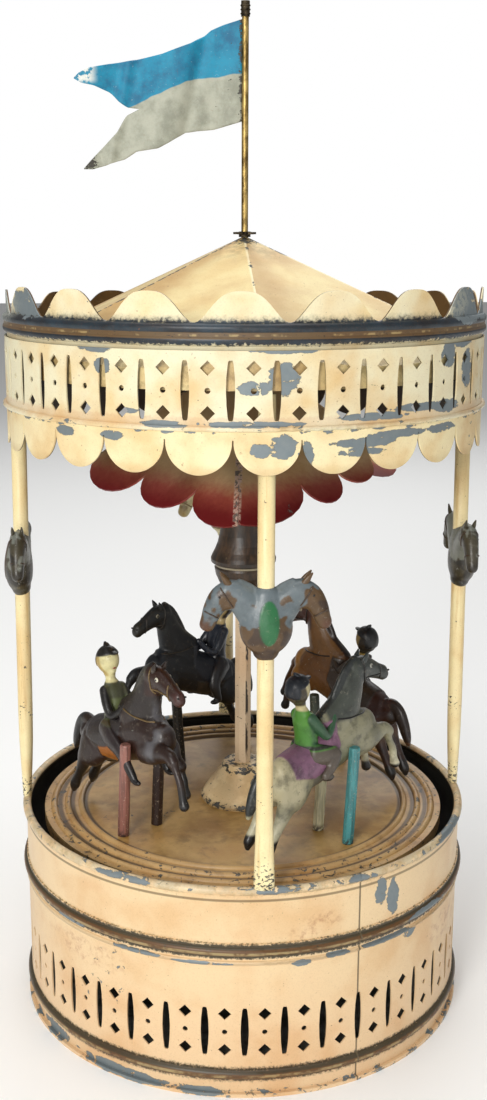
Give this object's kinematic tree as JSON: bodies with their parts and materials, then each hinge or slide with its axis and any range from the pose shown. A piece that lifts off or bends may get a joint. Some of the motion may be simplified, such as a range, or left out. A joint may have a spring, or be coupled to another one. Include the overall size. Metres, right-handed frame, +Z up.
{
  "type": "clockwork carousel toy",
  "caption": "Wind-up tin carousel: a pierced drum base with a spring movement, horses and riders on a turning platform, and a canopy on columns with a flag.",
  "frame": {"origin": "centre of the drum's foot, on the surface it stands on", "axes": "+Z up along the spindle; the front column stands on -Y; azimuth grows anticlockwise seen from above"},
  "size_m": [0.1872, 0.1872, 0.387],
  "materials": {
    "drum_paint": "hand-painted tinplate, cream, chipped, with brown airbrushed beads",
    "bare_tin": "bare tinplate, dull",
    "clock_plate": "stamped brass, dull",
    "clock_steel": "turned steel",
    "spring_steel": "blued steel",
    "clock_brass": "turned brass",
    "key_steel": "stamped steel, darkened",
    "platform_paint": "stamped tinplate, ochre and tan paint",
    "plinth_paint": "turned wood, cream paint, chipped",
    "post_paint": "eight-sided wooden stick, cream paint, chipped",
    "baluster_varnish": "turned wood, dark brown varnish",
    "umbrella_paint": "tinplate, tan fading to red at the edge",
    "brown_horse_paint": "carved wood, dark brown paint",
    "brown_rider_paint": "carved wood, green and dark coat",
    "brown_posts_paint": "wooden strips, pink and dark brown",
    "grey_horse_paint": "carved wood, mottled grey",
    "grey_rider_paint": "carved wood, green shirt",
    "grey_posts_paint": "wooden strips, turquoise and white",
    "tan_horse_paint": "carved wood, red-brown and tan",
    "tan_rider_paint": "carved wood, grey coat",
    "tan_posts_paint": "wooden strips, grey-green",
    "black_horse_paint": "carved wood, black paint",
    "black_rider_paint": "carved wood, dark blue coat",
    "black_posts_paint": "wooden strips, black",
    "column_paint": "rolled tin tube, cream paint",
    "heads_brown": "cast lead, brown paint worn to grey, green shield",
    "heads_gilt": "cast lead, dull gilt and cream",
    "cresting_paint": "tinplate, cream, with a dark blue and brown bead",
    "frieze_paint": "pierced tinplate, cream, chipped",
    "valance_paint": "scalloped tinplate, cream, chipped",
    "roof_paint": "tinplate, warm cream",
    "finial_steel": "tarnished steel",
    "pole_brass": "brass tube, dull",
    "flag_paint": "tinplate, blue over white, chipped"
  },
  "bodies": {
    "base": {"base_drum": "drum_paint", "base_floor": "bare_tin", "lower_plate": "clock_plate", "upper_plate": "clock_plate", "plate_pillars": "clock_plate", "plate_screws": "clock_steel", "mainspring": "spring_steel", "step_bearing": "clock_brass", "front_column": "column_paint", "right_column": "column_paint", "rear_column": "column_paint", "left_column": "column_paint", "front_horse_heads": "heads_brown", "right_horse_heads": "heads_brown", "rear_horse_heads": "heads_gilt", "left_horse_heads": "heads_brown", "canopy_cresting": "cresting_paint", "canopy_frieze": "frieze_paint", "canopy_valance": "valance_paint", "roof": "roof_paint", "top_bush": "clock_brass", "pole_collar": "finial_steel", "flag_pole": "pole_brass", "pole_finial": "finial_steel", "flag": "flag_paint"},
    "great_wheel": {"great_wheel": "clock_brass", "click": "clock_steel"},
    "winding_key": {"winding_arbor": "clock_steel", "ratchet_wheel": "clock_steel", "winding_key": "key_steel"},
    "second_wheel": {"second_arbor": "clock_steel", "second_wheel": "clock_brass"},
    "fly": {"fly_arbor": "clock_steel", "fly_vanes": "bare_tin"},
    "carousel": {"spindle": "clock_steel", "spindle_pinion": "clock_steel", "spindle_wheel": "clock_brass", "platform_hub": "clock_brass", "platform": "platform_paint", "plinth": "plinth_paint", "centre_post": "post_paint", "baluster": "baluster_varnish", "umbrella": "umbrella_paint", "umbrella_collar": "clock_brass", "brown_horse": "brown_horse_paint", "brown_horse_rider": "brown_rider_paint", "brown_horse_posts": "brown_posts_paint", "grey_horse": "grey_horse_paint", "grey_horse_rider": "grey_rider_paint", "grey_horse_posts": "grey_posts_paint", "tan_horse": "tan_horse_paint", "tan_horse_rider": "tan_rider_paint", "tan_horse_posts": "tan_posts_paint", "black_horse": "black_horse_paint", "black_horse_rider": "black_rider_paint", "black_horse_posts": "black_posts_paint"}
  },
  "joints": [
    {"name": "carousel_turn", "type": "hinge", "parent": "base", "child": "carousel", "pos_m": [0, 0, 0.0795], "axis": [0, 0, 1], "continuous": true},
    {"name": "great_wheel_turn", "type": "hinge", "parent": "base", "child": "great_wheel", "pos_m": [-0.02806, 0.0162, 0.0268], "axis": [0, 0, 1], "continuous": true},
    {"name": "winding", "type": "hinge", "parent": "great_wheel", "child": "winding_key", "pos_m": [-0.02806, 0.0162, 0.009], "axis": [0, 0, 1], "range_deg": [0, 1440]},
    {"name": "second_wheel_turn", "type": "hinge", "parent": "base", "child": "second_wheel", "pos_m": [0.02122, -0.01225, 0.0316], "axis": [0, 0, 1], "continuous": true},
    {"name": "fly_turn", "type": "hinge", "parent": "base", "child": "fly", "pos_m": [0.02122, -0.03025, 0.04], "axis": [0, 0, 1], "continuous": true}
  ],
  "couplings": [
    {"joint": "great_wheel_turn", "follows": "carousel_turn", "ratio": -0.2},
    {"joint": "second_wheel_turn", "follows": "carousel_turn", "ratio": -6},
    {"joint": "fly_turn", "follows": "carousel_turn", "ratio": 30}
  ]
}
